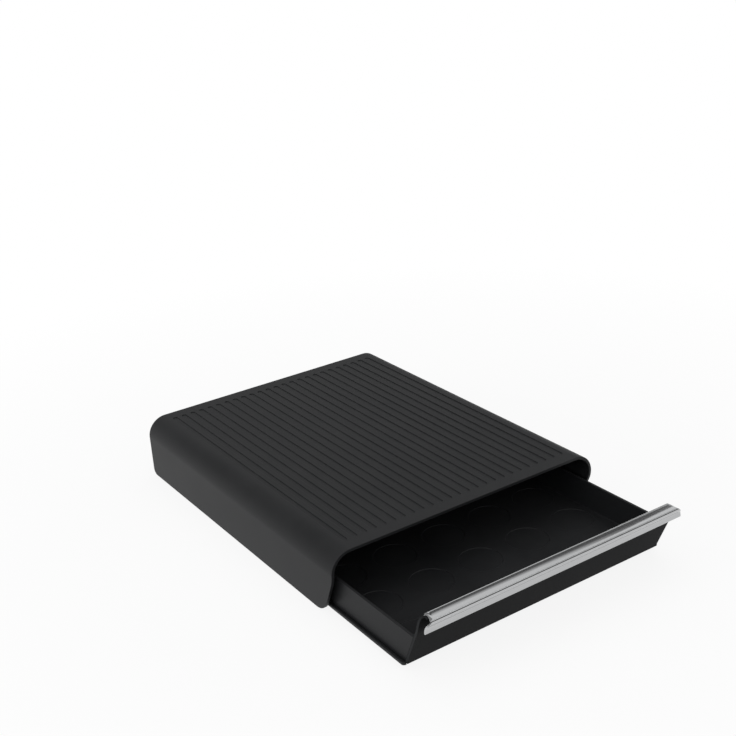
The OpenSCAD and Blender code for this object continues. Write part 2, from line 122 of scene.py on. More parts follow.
SCREW_D, HEAD_D, HEAD_H, HEAD_RIM = 2.6, 5.6, 1.3, 0.1
FLAT_SCREW_L, REAR_SCREW_L, PANEL_SCREW_L = 3.4, 6.2, 3.4
PANEL_SCREW_Z, BUMPER_X, BUMPER_Z = 20.5, 78.0, 23.5
SIDES = ((-1, "left"), (1, "right"))

# How far a cutter or a filler reaches past a face, and the distance at which points merge.
PAST, WELD = 1.0, 2e-3
# A small distance that keeps two faces from lying in one plane.
SPARE = 0.01
FLAT_ANGLE, SHARP_ANGLE, SOFT_ANGLE = (math.radians(a) for a in (0.4, 32, 35))


def face_y(z, behind):
    """The y, at a height, of a plane that leans with the panel some way behind its face."""
    return DRAWER_Y + LEAN_RUN - (z - PANEL_BOTTOM_Z) * LEAN_TAN + behind / LEAN_COS


# ---- Making pieces ----

class Outline:
    """A wire drawn by straight runs and turns from a start and a heading in degrees.
    It lies in the plane across X, in y and z, or in the plane across Y, in x and z."""

    def __init__(self, bm, u, v, heading, plane="YZ"):
        self.bm, self.plane, self.heading = bm, plane, heading
        self.first = self.tip = bm.verts.new(self.place(u, v))
        self.edges = []

    def place(self, u, v):
        """A point of the outline's plane."""
        return Vector((0, u, v)) if self.plane == "YZ" else Vector((u, 0, v))

    def extend(self, step):
        """One edge on from the tip."""
        made = bmesh.ops.extrude_vert_indiv(self.bm, verts=[self.tip])
        self.tip = made["verts"][0]
        self.tip.co += step
        self.edges += made["edges"]

    def run(self, length):
        """Straight on."""
        h = math.radians(self.heading)
        self.extend(self.place(length * math.cos(h), length * math.sin(h)))
        return self

    def turn(self, radius, angle, steps=8):
        """Along an arc. A positive angle turns left."""
        part = angle / steps
        chord = 2 * radius * math.sin(math.radians(abs(part)) / 2)
        for _ in range(steps):
            self.heading += part / 2
            self.run(chord)
            self.heading += part / 2
        return self

    def corner(self, angle):
        """Turns on the spot."""
        self.heading += angle
        return self

    def to(self, u, v):
        """Straight to a point."""
        self.extend(self.place(u, v) - self.tip.co)
        return self

    def close(self):
        """Joins the ends and fills the outline with one face."""
        self.edges.append(self.bm.edges.new((self.tip, self.first)))
        return bmesh.ops.contextual_create(self.bm, geom=self.edges)["faces"][0]


def pull(bm, face, step):
    """Extrudes a face into a solid along a step."""
    made = bmesh.ops.extrude_face_region(bm, geom=[face])
    moved = [v for v in made["geom"] if isinstance(v, bmesh.types.BMVert)]
    bmesh.ops.translate(bm, verts=moved, vec=step)


def across(bm, face, width):
    """Makes a face in the plane X = 0 a bar of that width about the middle."""
    bmesh.ops.translate(bm, verts=face.verts, vec=(-width / 2, 0, 0))
    pull(bm, face, Vector((width, 0, 0)))


def block(bm, lo, hi, matrix=None):
    """A box between two corners. Returns its vertices."""
    lo, hi = Vector(lo), Vector(hi)
    place = Matrix.Translation((lo + hi) / 2) @ Matrix.Diagonal((*(hi - lo), 1))
    made = bmesh.ops.create_cube(bm, size=1, matrix=(matrix or Matrix()) @ place)
    return made["verts"]


def side_block(bm, side, x_range, y_range, z_range):
    """A box on one side of the middle. x_range is measured outwards from the middle."""
    x0, x1 = sorted(side * x for x in x_range)
    block(bm, (x0, y_range[0], z_range[0]), (x1, y_range[1], z_range[1]))


def edges_of(verts, direction, low_z=-math.inf):
    """The edges at these vertices that run along a direction, from a height up. Their order is
    the same in each run."""
    axis = Vector(direction)
    found = []
    for e in dict.fromkeys(e for v in verts for e in v.link_edges):
        a, b = (v.co for v in e.verts)
        if abs((b - a).normalized().dot(axis)) >= 0.999 and (a.z + b.z) / 2 >= low_z:
            found.append(e)
    return found


def round_off(bm, edges, radius, segments):
    """Rounds edges with a true arc."""
    bmesh.ops.bevel(
        bm, geom=edges, offset=radius, offset_type="OFFSET", segments=segments,
        profile=0.5, affect="EDGES", material=-1, clamp_overlap=True,
    )


def drum(bm, rings, steps, matrix=None):
    """A turned solid about Z. rings is (radius, z), from the bottom middle to the top middle.
    A tag marks the vertices of the drums that are done."""
    verts = [bm.verts.new((r, 0, z)) for r, z in rings]
    edges = [bm.edges.new(pair) for pair in zip(verts, verts[1:])]
    bmesh.ops.spin(
        bm, geom=verts + edges, cent=(0, 0, 0), axis=(0, 0, 1),
        angle=2 * math.pi, steps=steps, use_merge=True,
    )
    turned = [v for v in bm.verts if v.link_faces and not v.tag]
    bmesh.ops.remove_doubles(bm, verts=turned, dist=1e-4)
    turned = [v for v in bm.verts if not v.tag]
    faces = list(dict.fromkeys(f for v in turned for f in v.link_faces))
    bmesh.ops.recalc_face_normals(bm, faces=faces)
    if matrix:
        bmesh.ops.transform(bm, matrix=matrix, verts=turned)
    for v in turned:
        v.tag = True


def mirror_over(bm, side):
    """Turns a right-hand piece into a left-hand one where side is -1."""
    if side < 0:
        bmesh.ops.scale(bm, vec=(-1, 1, 1), verts=bm.verts)
        bmesh.ops.reverse_faces(bm, faces=bm.faces)


def solid(bm):
    """Keeps a bmesh as a temporary object, with its faces pointing outwards."""
    bmesh.ops.recalc_face_normals(bm, faces=bm.faces)
    mesh = bpy.data.meshes.new("blank")
    bm.to_mesh(mesh)
    bm.free()
    shape = bpy.data.objects.new("blank", mesh)
    scene.collection.objects.link(shape)
    return shape


def machine(body, steps):
    """Joins, cuts or trims a temporary object with others, and returns the result as a bmesh."""
    for operation, tool in steps:
        modifier = body.modifiers.new(operation, "BOOLEAN")
        modifier.operation = operation
        modifier.solver = "EXACT"
        modifier.object = tool
    bpy.context.view_layer.update()
    done = body.evaluated_get(bpy.context.evaluated_depsgraph_get()).to_mesh()
    bm = bmesh.new()
    bm.from_mesh(done)
    for used in [body] + [tool for _, tool in steps]:
        mesh = used.data
        bpy.data.objects.remove(used)
        bpy.data.meshes.remove(mesh)
    bmesh.ops.remove_doubles(bm, verts=bm.verts, dist=WELD)
    bmesh.ops.dissolve_degenerate(bm, edges=bm.edges, dist=WELD)
    bmesh.ops.dissolve_limit(bm, angle_limit=FLAT_ANGLE, verts=bm.verts, edges=bm.edges)
    return bm


def finish_piece(bm, name, body, material, replaced, soften=0.0, segments=2):
    """Makes a bmesh in millimetres a piece of the drawer, with its edges softened."""
    bmesh.ops.scale(bm, vec=(MM, MM, MM), verts=bm.verts)
    mesh = bpy.data.meshes.new(name)
    bm.to_mesh(mesh)
    bm.free()
    mesh.shade_smooth()
    mesh.set_sharp_from_angle(angle=SHARP_ANGLE)
    piece = bpy.data.objects.new(name, mesh)
    scene.collection.objects.link(piece)
    if soften:
        bevel = piece.modifiers.new("soft edges", "BEVEL")
        bevel.width = soften * MM
        bevel.segments = segments
        bevel.limit_method = "ANGLE"
        bevel.angle_limit = SOFT_ANGLE
        bevel.use_clamp_overlap = False
        bevel.harden_normals = True
        bevel.miter_outer = "MITER_ARC"
    mesh.materials.append(material)
    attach(piece, body)
    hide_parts(*replaced)


# ---- Shader groups ----

def group(name, inputs, outputs):
    """An empty shader group with its sockets. Returns the tree and its two ends."""
    tree = bpy.data.node_groups.new(name, "ShaderNodeTree")
    for socket, kind, value in inputs:
        made = tree.interface.new_socket(name=socket, in_out="INPUT", socket_type=kind)
        if value is not None:
            made.default_value = value
    for socket, kind in outputs:
        tree.interface.new_socket(name=socket, in_out="OUTPUT", socket_type=kind)
    return tree, tree.nodes.new("NodeGroupInput"), tree.nodes.new("NodeGroupOutput")


def noise(tree, vector, scale, detail=2.0, roughness=0.5):
    """A noise texture's value. scale is a number or a socket."""
    node = tree.nodes.new("ShaderNodeTexNoise")
    tree.links.new(vector, node.inputs["Vector"])
    if isinstance(scale, (int, float)):
        node.inputs["Scale"].default_value = scale
    else:
        tree.links.new(scale, node.inputs["Scale"])
    node.inputs["Detail"].default_value = detail
    node.inputs["Roughness"].default_value = roughness
    return node.outputs["Fac"]


def parts_of(tree, vector):
    """The X, Y and Z of a vector."""
    node = tree.nodes.new("ShaderNodeSeparateXYZ")
    tree.links.new(vector, node.inputs["Vector"])
    return node.outputs


def facing(tree):
    """The X, Y and Z of the way that a face looks."""
    return parts_of(tree, tree.nodes.new("ShaderNodeNewGeometry").outputs["Normal"])


def stretched(tree, vector, scale):
    """A vector with each axis scaled by itself, which draws a texture out into streaks."""
    node = tree.nodes.new("ShaderNodeMapping")
    node.inputs["Scale"].default_value = scale
    tree.links.new(vector, node.inputs["Vector"])
    return node.outputs["Vector"]


def ranged(tree, value, low, high, to_low, to_high):
    """A value mapped from one range to another and held there."""
    node = tree.nodes.new("ShaderNodeMapRange")
    tree.links.new(value, node.inputs["Value"])
    for socket, number in zip(
        ("From Min", "From Max", "To Min", "To Max"), (low, high, to_low, to_high)
    ):
        node.inputs[socket].default_value = number
    return node.outputs["Result"]


def maths(tree, operation, a, b=None):
    """One arithmetic step on sockets or numbers."""
    node = tree.nodes.new("ShaderNodeMath")
    node.operation = operation
    for k, x in enumerate((a, b)):
        if x is None:
            continue
        if isinstance(x, (int, float)):
            node.inputs[k].default_value = x
        else:
            tree.links.new(x, node.inputs[k])
    return node.outputs["Value"]


def grain_group():
    """Spark-eroded mould grain: a fine height, and a slow change of tone over the piece."""
    tree, start, end = group(
        "mould grain",
        [("Vector", "NodeSocketVector", None), ("Grains per metre", "NodeSocketFloat", 1800.0)],
        [("Height", "NodeSocketFloat"), ("Tone", "NodeSocketFloat")],
    )
    vector, count = start.outputs["Vector"], start.outputs["Grains per metre"]
    fine = noise(tree, vector, count, 3.0, 0.55)
    slow = noise(tree, vector, 14.0, 3.0, 0.6)
    tree.links.new(ranged(tree, fine, 0.3, 0.7, 0.0, 1.0), end.inputs["Height"])
    tree.links.new(ranged(tree, slow, 0.3, 0.7, 0.0, 1.0), end.inputs["Tone"])
    return tree


def edge_group():
    """Polished edges: 0 on a face, and up to 1 in patches on a convex or concave edge."""
    tree, start, end = group(
        "edge polish",
        [("Vector", "NodeSocketVector", None)],
        [("Mask", "NodeSocketFloat")],
    )
    rounded = tree.nodes.new("ShaderNodeBevel")
    rounded.samples = 4
    polish_r = 0.9
    rounded.inputs["Radius"].default_value = polish_r * MM
    geometry = tree.nodes.new("ShaderNodeNewGeometry")
    dot = tree.nodes.new("ShaderNodeVectorMath")
    dot.operation = "DOT_PRODUCT"
    tree.links.new(rounded.outputs["Normal"], dot.inputs[0])
    tree.links.new(geometry.outputs["Normal"], dot.inputs[1])
    edge = ranged(tree, dot.outputs["Value"], 0.995, 0.85, 0.0, 1.0)
    patchy = ranged(
        tree, noise(tree, start.outputs["Vector"], 160.0, 3.0), 0.35, 0.65, 0.35, 1.0
    )
    tree.links.new(maths(tree, "MULTIPLY", edge, patchy), end.inputs["Mask"])
    return tree


def dust_group():
    """Fine dust on faces that look up: soft patches with single specks."""
    tree, start, end = group(
        "fine dust",
        [("Vector", "NodeSocketVector", None)],
        [("Mask", "NodeSocketFloat")],
    )
    vector = start.outputs["Vector"]
    upward = ranged(tree, facing(tree)["Z"], 0.2, 1.0, 0.0, 1.0)
    patches = ranged(tree, noise(tree, vector, 22.0, 4.0, 0.65), 0.35, 0.75, 0.0, 1.0)
    specks = ranged(tree, noise(tree, vector, 2600.0, 1.0), 0.68, 0.76, 0.0, 1.0)
    film = maths(tree, "ADD", maths(tree, "MULTIPLY", patches, 0.5), specks)
    tree.links.new(maths(tree, "MULTIPLY", upward, film), end.inputs["Mask"])
    return tree


def streak_group():
    """Fine parallel lines. The vector comes already drawn out along them."""
    tree, start, end = group(
        "brushed lines",
        [("Vector", "NodeSocketVector", None), ("Lines per metre", "NodeSocketFloat", 1.0)],
        [("Height", "NodeSocketFloat"), ("Shade", "NodeSocketFloat")],
    )
    vector, count = start.outputs["Vector"], start.outputs["Lines per metre"]
    thin = noise(tree, vector, count, 4.0, 0.7)
    broad_share = 0.16
    broad = noise(tree, vector, maths(tree, "MULTIPLY", count, broad_share), 2.0, 0.5)
    tree.links.new(ranged(tree, thin, 0.25, 0.75, 0.0, 1.0), end.inputs["Height"])
    weighed = [maths(tree, "MULTIPLY", line, k) for line, k in ((thin, 0.6), (broad, 0.4))]
    both = maths(tree, "ADD", *weighed)
    tree.links.new(ranged(tree, both, 0.3, 0.7, 0.0, 1.0), end.inputs["Shade"])
    return tree


GRAIN, EDGE, DUST, STREAK = grain_group(), edge_group(), dust_group(), streak_group()


# ---- Materials ----

def new_material(name):
    """A material and its tree."""
    material = bpy.data.materials.new(name)
    material.use_nodes = True
    return material, material.node_tree


class Finish:
    """A material under construction: its tree, its shader and the object's coordinates."""

    def __init__(self, name, colour, roughness, metallic=0.0, specular=0.5):
        self.material, self.tree = new_material(name)
        self.shader = self.tree.nodes["Principled BSDF"]
        self.shader.inputs["Base Color"].default_value = (*colour, 1)
        self.shader.inputs["Roughness"].default_value = roughness
        self.shader.inputs["Metallic"].default_value = metallic
        self.shader.inputs["Specular IOR Level"].default_value = specular
        self.material.diffuse_color = (*colour, 1)
        self.place = self.tree.nodes.new("ShaderNodeTexCoord").outputs["Object"]

    def use(self, tree, vector=None, **values):
        """Places a shader group and sets its numbers."""
        node = self.tree.nodes.new("ShaderNodeGroup")
        node.node_tree = tree
        self.tree.links.new(vector or self.place, node.inputs["Vector"])
        for socket, value in values.items():
            node.inputs[socket.replace("_", " ")].default_value = value
        return node.outputs

    def mix(self, mask, a, b):
        """A colour that goes from a to b with a mask."""
        node = self.tree.nodes.new("ShaderNodeMix")
        node.data_type = "RGBA"
        self.tree.links.new(mask, node.inputs["Factor"])
        for socket, colour in (("A", a), ("B", b)):
            at = next(s for s in node.inputs if s.name == socket and s.type == "RGBA")
            if isinstance(colour, tuple):
                at.default_value = (*colour, 1)
            else:
                self.tree.links.new(colour, at)
        return next(s for s in node.outputs if s.type == "RGBA")

    def bump(self, height, depth, below=None):
        """A bump of that depth, in millimetres, on top of another normal if one is given."""
        node = self.tree.nodes.new("ShaderNodeBump")
        node.inputs["Distance"].default_value = depth * MM
        node.inputs["Strength"].default_value = 1.0
        self.tree.links.new(height, node.inputs["Height"])
        if below is not None:
            self.tree.links.new(below, node.inputs["Normal"])
        return node.outputs["Normal"]

    def feed(self, **sockets):
        """Links values to the shader's own sockets."""
        for name, value in sockets.items():
            self.tree.links.new(value, self.shader.inputs[name.replace("_", " ")])
        return self.material


def scaled(colour, k):
    """A colour made k times as bright, and held at white."""
    return tuple(min(1.0, c * k) for c in colour)


# This mask carries the painted light on a piece's left and right ends.
def end_faces(tree):
    """1 on the faces that look left or right, 0 on the rest."""
    sideways = maths(tree, "ABSOLUTE", facing(tree)["X"])
    return ranged(tree, sideways, 0.5, 0.95, 0.0, 1.0)


def moulded(name, colour, roughness, grain, depth, specular=0.5, polish=0.5, dusty=0.02, ends=1.0):
    """Moulded plastic: eroded grain, a slow change of tone, polished edges and a trace of dust.
    ends is how many times as bright its left and right ends are painted: painted light on the
    faces that look left or right."""
    tone_change, rough_change, worn_bright, worn_smooth = 0.1, 0.025, 1.9, 0.12
    f = Finish(name, colour, roughness, specular=specular)
    g = f.use(GRAIN, Grains_per_metre=grain)
    edge = f.use(EDGE)["Mask"]
    dust = f.use(DUST)["Mask"]
    base = f.mix(g["Tone"], scaled(colour, 1 - tone_change), scaled(colour, 1 + tone_change))
    # Painted light: the faces that look left or right are painted brighter, as if lit from the
    # side.
    if ends != 1.0:
        base = f.mix(end_faces(f.tree), base, scaled(colour, ends))
    worn = f.mix(maths(f.tree, "MULTIPLY", edge, polish), base, scaled(colour, worn_bright))
    dusted = f.mix(maths(f.tree, "MULTIPLY", dust, dusty), worn, DUST_COLOUR)
    rough = ranged(
        f.tree, g["Tone"], 0.0, 1.0, roughness - rough_change, roughness + rough_change
    )
    rough = maths(f.tree, "SUBTRACT", rough, maths(f.tree, "MULTIPLY", edge, worn_smooth))
    rough = maths(f.tree, "ADD", rough, maths(f.tree, "MULTIPLY", dust, dusty * 2))
    return f.feed(Base_Color=dusted, Roughness=rough, Normal=f.bump(g["Height"], depth))


def sliding(name, colour, roughness, grain):
    """Slippery guide plastic with the marks of sliding drawn along Y."""
    rough_change, grain_depth, mark_depth = 0.06, 0.004, 0.006
    f = Finish(name, colour, roughness, specular=0.15)
    g = f.use(GRAIN, Grains_per_metre=grain)
    drawn = stretched(f.tree, f.place, (1.0, 0.012, 1.0))
    marks = f.use(STREAK, vector=drawn, Lines_per_metre=1500.0)
    base = f.mix(g["Tone"], scaled(colour, 0.9), scaled(colour, 1.12))
    rubbed = f.mix(marks["Shade"], base, scaled(colour, 1.35))
    rough = ranged(
        f.tree, marks["Shade"], 0.0, 1.0, roughness + rough_change, roughness - rough_change
    )
    grained = f.bump(g["Height"], grain_depth)
    marked = f.bump(marks["Height"], mark_depth, grained)
    return f.feed(Base_Color=rubbed, Roughness=rough, Normal=marked)


def brushed(name, colour, roughness, along, lines, depth, shaded_groove=None):
    """Brushed metal with its lines drawn along an axis. shaded_groove gives where painted shade
    darkens the metal, standing in for the shade in the handle's groove: from one y to another and
    above a height, in millimetres."""
    # groove_shade_bright is how bright the painted shade in the groove leaves the metal's colour.
    rough_change, groove_shade_bright, blur = 0.05, 0.18, 0.06
    f = Finish(name, colour, roughness, metallic=1.0)
    drawn = stretched(f.tree, f.place, along)
    s = f.use(STREAK, vector=drawn, Lines_per_metre=lines)
    g = f.use(GRAIN, Grains_per_metre=500.0)
    edge = f.use(EDGE)["Mask"]
    base = f.mix(s["Shade"], scaled(colour, 0.86), scaled(colour, 1.12))
    toned = f.mix(maths(f.tree, "MULTIPLY", g["Tone"], 0.3), base, scaled(colour, 0.85))
    bright = f.mix(maths(f.tree, "MULTIPLY", edge, 0.5), toned, scaled(colour, 1.25))
    # Painted shade: inside that region the metal is painted dark, standing in for the shade in the
    # groove.
    if shaded_groove:
        parts = parts_of(f.tree, f.place)
        front, back, above = (
            ranged(f.tree, parts[axis], (k - blur) * MM, (k + blur) * MM, 0.0, 1.0)
            for axis, k in zip("YYZ", shaded_groove)
        )
        inside = maths(f.tree, "MULTIPLY", maths(f.tree, "SUBTRACT", front, back), above)
        bright = f.mix(inside, bright, scaled(colour, groove_shade_bright))
    rough = ranged(
        f.tree, s["Shade"], 0.0, 1.0, roughness + rough_change, roughness - rough_change
    )
    return f.feed(Base_Color=bright, Roughness=rough, Normal=f.bump(s["Height"], depth))


BLACK, DUST_COLOUR = (0.014, 0.0145, 0.0155), (0.42, 0.41, 0.39)
COVER = moulded("satin cover plastic", BLACK, 0.44, 1700.0, 0.008, 0.13)
INNER = moulded("matt inner plastic", BLACK, 0.62, 1100.0, 0.018, 0.2)
TRAY = moulded("satin tray plastic", BLACK, 0.42, 1700.0, 0.008, 0.09)
# The panel's black is a darker copy of the cover's black, painted shade for a face that looks down
# and forwards. Its left and right ends are painted 2.6 times as bright, painted light.
PANEL = moulded(
    "smooth panel plastic", (0.011, 0.0113, 0.0118), 0.42, 2400.0, 0.003, 0.012, ends=2.6
)
GUIDE = sliding("slippery guide plastic", BLACK, 0.40, 2200.0)
RUBBER = moulded("soft rubber", (0.008, 0.008, 0.0085), 0.85, 900.0, 0.03, 0.3, 0.2, 0.05)
# Where painted shade darkens the handle's groove: how far it reaches ahead of and behind the
# groove line, and how deep below it.
GROOVE_SHADE_FRONT, GROOVE_SHADE_BACK, GROOVE_SHADE_DEPTH = GROOVE_W * 0.4, GROOVE_W * 0.45, 1.2
STRIP = brushed(
    "brushed handle metal", (0.48, 0.485, 0.49), 0.15, (0.006, 1, 1), 3200.0, 0.003,
    shaded_groove=(GROOVE_Y - GROOVE_SHADE_FRONT, GROOVE_Y + GROOVE_SHADE_BACK, GROOVE_Z - GROOVE_SHADE_DEPTH),
)
STEEL = brushed("zinc-plated screw steel", (0.46, 0.47, 0.49), 0.32, (1, 1, 1), 900.0, 0.004)


# ---- Housing ----

def groove_cutters():
    """The deck's long channels, with round ends, as one tool."""
    bm = bmesh.new()
    count, pitch, width, depth, margin, end_flat = 25, 9.6, 4.6, 0.8, 13.0, 0.15
    for i in range(count):
        x = (i - count // 2) * pitch
        verts = block(
            bm,
            (x - width / 2, FRONT_Y + margin, DECK_Z - depth),
            (x + width / 2, BACK_Y - margin, DECK_Z + 2 * PAST),
        )
        round_off(bm, edges_of(verts, (0, 0, 1)), width / 2 - end_flat, 6)
    return solid(bm)


def arch_block(width, y0, y1, z0, z1, radius):
    """A block with round upper long corners, flat below."""
    bm = bmesh.new()
    verts = block(bm, (-width / 2, y0, z0), (width / 2, y1, z1))
    round_off(bm, edges_of(verts, (0, 1, 0), low_z=(z0 + z1) / 2), radius, 20)
    return solid(bm)


def cover_ends():
    """What comes off the arch: its leaning front edges, and a round heel at the rear."""
    bm = bmesh.new()
    clear = 2 * PAST
    front = Outline(bm, FRONT_Y, EDGE_TOP_Z, -90)
    drop = EDGE_TOP_Z - COVER_BOTTOM_Z - BEND_R * LEAN_SIN - EDGE_FOOT_R * (1 - LEAN_SIN)
    front.turn(BEND_R, LEAN, 12).run(drop / LEAN_COS).turn(EDGE_FOOT_R, 90 - LEAN, 14)
    front.corner(-90).run(clear)
    front.to(FRONT_Y - clear, COVER_BOTTOM_Z - clear).to(FRONT_Y - clear, EDGE_TOP_Z)
    across(bm, front.close(), COVER_W + 2 * clear)
    heel = Outline(bm, BACK_Y - HEEL_R, COVER_BOTTOM_Z, 0)
    heel.turn(HEEL_R, 90, 8).to(BACK_Y + clear, COVER_BOTTOM_Z + HEEL_R)
    heel.to(BACK_Y + clear, COVER_BOTTOM_Z - clear).to(BACK_Y - HEEL_R, COVER_BOTTOM_Z - clear)
    across(bm, heel.close(), COVER_W + 2 * clear)
    return solid(bm)


def make_cover():
    """The ribbed arch, with a ledge and a slot along each wall that hold the base plate's edge,
    and blocks under the deck for the rear screws."""
    shell = arch_block(COVER_W, FRONT_Y, BACK_Y, COVER_BOTTOM_Z, DECK_Z, CORNER_R)
    hollow = arch_block(
        COVER_IN_W, FRONT_Y - PAST, BACK_Y + PAST, COVER_BOTTOM_Z - PAST, DECK_UNDER_Z,
        CORNER_R - COVER_WALL,
    )
    wall_in = COVER_IN_W / 2
    ledge_w, ledge_in_wall, slot_past, slot_d, slot_run_out = 3, 0.5, 1, 1.2, 5
    added, slots = bmesh.new(), bmesh.new()
    for side, _ in SIDES:
        side_block(
            added, side, (wall_in - ledge_w, COVER_W / 2 - ledge_in_wall),
            (BASE_FRONT_Y, BACK_Y - HEEL_R), (COVER_BOTTOM_Z, LEDGE_TOP_Z),
        )
        side_block(
            slots, side, (wall_in - slot_past, wall_in + slot_d),
            (BASE_FRONT_Y, BACK_Y + slot_run_out), (LEDGE_TOP_Z, BASE_TOP_Z),
        )
    for x in rear_screw_xs():
        block(
            added,
            (x - BLOCK_W / 2, REAR_IN_Y - BLOCK_L, DECK_UNDER_Z - BLOCK_W),
            (x + BLOCK_W / 2, REAR_IN_Y, DECK_UNDER_Z + PAST),
        )
    bm = machine(shell, [
        ("DIFFERENCE", hollow), ("UNION", solid(added)), ("DIFFERENCE", solid(slots)),
        ("DIFFERENCE", cover_ends()), ("DIFFERENCE", groove_cutters()),
    ])
    finish_piece(bm, "cover", "housing", COVER, ["housing_cover"], 0.3, 3)


def make_rear_panel():
    """The plate that closes the back, with a flange over the base plate."""
    gap, corner_r = 0.2, 16.1
    plate = arch_block(
        COVER_IN_W - 2 * gap, REAR_IN_Y, REAR_OUT_Y, BASE_TOP_Z, DECK_UNDER_Z - gap, corner_r
    )
    flange = bmesh.new()
    block(
        flange,
        (-GUIDE_IN_X, REAR_IN_Y - FLANGE_L, BASE_TOP_Z),
        (GUIDE_IN_X, REAR_OUT_Y - gap, BASE_TOP_Z + GUIDE_T),
    )
    bm = machine(plate, [("UNION", solid(flange))])
    finish_piece(bm, "back_plate", "housing", INNER, ["rear_panel"], 0.3, 2)


def make_base_plate():
    """The plate that carries the cover, with thin edges, foot pockets and screw holes."""
    bm = bmesh.new()
    block(bm, (-BASE_HALF, BASE_FRONT_Y, BASE_BOTTOM_Z), (BASE_HALF, REAR_OUT_Y, BASE_TOP_Z))
    plate = solid(bm)
    cut, holes = bmesh.new(), bmesh.new()
    edge_w = 3.2
    for side, _ in SIDES:
        side_block(
            cut, side, (COVER_IN_W / 2 - edge_w, BASE_HALF + PAST),
            (BASE_FRONT_Y - PAST, REAR_OUT_Y + PAST), (0, LEDGE_TOP_Z),
        )
    pocket_r, pocket_low, pocket_top = 8.1, 0.5, 2.2
    pocket = [(0, pocket_low), (pocket_r, pocket_low), (pocket_r, pocket_top), (0, pocket_top)]
    for x, y in foot_places():
        drum(holes, pocket, 48, Matrix.Translation((x, y, 0)))
    head_r, shank_r, hole_low, hole_top = 2.85, 1.35, 0.4, 4.4
    countersink = [
        (0, hole_low), (head_r, hole_low), (head_r, BASE_BOTTOM_Z),
        (shank_r, BASE_BOTTOM_Z + HEAD_H), (shank_r, hole_top), (0, hole_top),
    ]
    for x, y in flat_screw_places():
        drum(holes, countersink, 32, Matrix.Translation((x, y, 0)))
    bm = machine(plate, [("DIFFERENCE", solid(cut)), ("DIFFERENCE", solid(holes))])
    finish_piece(bm, "base", "housing", INNER, ["base_plate"], 0.2, 2)


def foot_places():
    """The middles of the feet: front and rear on the left, then on the right."""
    from_side, from_end = 24, 22
    x = BASE_HALF - from_side
    ys = (BASE_FRONT_Y + from_end, REAR_OUT_Y - from_end)
    return [(side * x, y) for side, _ in SIDES for y in ys]


def flat_screw_places():
    """The countersunk screws under the base: four in each guide and three at the rear."""
    guide = [
        (side * GUIDE_SCREW_X, BASE_FRONT_Y + GUIDE_L * (i + 0.5) / GUIDE_SCREW_COUNT)
        for side, _ in SIDES for i in range(GUIDE_SCREW_COUNT)
    ]
    return guide + [(x, REAR_IN_Y - FLANGE_L / 2) for x in rear_screw_xs()]


def rear_screw_xs():
    """The x of each screw in the rear panel and its flange."""
    return [i * TRAY_W / 3 for i in (-1, 0, 1)]


def make_guide(side, hand):
    """A channel that opens to the drawer, with a tab at its front end."""
    bm = bmesh.new()
    lip_z, top_z, web_x = 8.2, 9.6, GUIDE_OUT_X - GUIDE_T
    c = Outline(bm, GUIDE_IN_X, BASE_TOP_Z, 0, "XZ")
    c.to(GUIDE_OUT_X, BASE_TOP_Z).to(GUIDE_OUT_X, top_z).to(GUIDE_LIP_X, top_z)
    c.to(GUIDE_LIP_X, lip_z).to(web_x, lip_z).to(web_x, BASE_TOP_Z + GUIDE_T)
    c.to(GUIDE_IN_X, BASE_TOP_Z + GUIDE_T)
    face = c.close()
    bmesh.ops.translate(bm, verts=face.verts, vec=(0, BASE_FRONT_Y, 0))
    pull(bm, face, Vector((0, GUIDE_L, 0)))
    channel = solid(bm)
    tab = bmesh.new()
    tab_lift, tab_r = 0.2, 0.8
    verts = block(
        tab, (GUIDE_LIP_X, BASE_FRONT_Y, lip_z + tab_lift),
        (GUIDE_OUT_X, BASE_FRONT_Y + TAB_L, STOP_TOP_Z),
    )
    round_off(tab, edges_of(verts, (1, 0, 0), low_z=STOP_TOP_Z - PAST), tab_r, 4)
    bm = machine(channel, [("UNION", solid(tab))])
    mirror_over(bm, side)
    finish_piece(
        bm, hand + "_guide", "housing", GUIDE, ["guide_" + hand], 0.15, 2
    )


def make_feet():
    """The rubber feet, each with a ring that stands on the counter."""
    hollow_z, ring_in_r, ring_r, foot_r, foot_top = 0.35, 4.6, 6.9, 8.0, 2.2
    rings = [
        (0, hollow_z), (4.2, hollow_z), (ring_in_r, 0.0), (ring_r, 0.0),
        (7.6, 0.2), (foot_r, 0.8), (foot_r, foot_top), (0, foot_top),
    ]
    names = ("foot_front_left", "foot_rear_left", "foot_front_right", "foot_rear_right")
    for name, (x, y) in zip(names, foot_places()):
        bm = bmesh.new()
        drum(bm, rings, 48, Matrix.Translation((x, y, 0)))
        finish_piece(bm, "rubber_" + name, "housing", RUBBER, [name], 0.15, 2)


# ---- Screws ----

def cross_recess(top):
    """The two cuts that sink a cross recess into a head. The driver enters from below."""
    reach, half_w, taper = 1.5, 0.36, 0.55
    cuts = []
    for turn in (0, 90):
        bm = bmesh.new()
        turned = Matrix.Rotation(math.radians(turn), 4, "Z")
        arm = block(bm, (-reach, -half_w, top - PAST), (reach, half_w, top + PAST), turned)
        deep_end = [v for v in arm if v.co.z > top]
        bmesh.ops.scale(bm, vec=(taper, taper, 1), verts=deep_end)
        cuts.append(("DIFFERENCE", solid(bm)))
    return cuts


def screw_blank(round_head, length):
    """One screw, pointing up, with its driver recess."""
    r, h, s = HEAD_D / 2, HEAD_H, SCREW_D / 2
    point = 0.3
    if round_head:
        dome = ((0, 1), (0.45, 1), (0.8, 0.82), (0.96, 0.5))
        rings = [(r * wide, -h * high) for wide, high in dome]
        rings += [(r, -HEAD_RIM), (r, 0), (s, 0)]
        sunk = cross_recess(-h)
    else:
        rings = [(0, 0), (r - HEAD_RIM, 0), (r, HEAD_RIM), (s, h)]
        sunk = cross_recess(0)
    rings += [(s, length - point), (s - point, length), (0, length)]
    bm = bmesh.new()
    drum(bm, rings, 32)
    return machine(solid(bm), sunk)


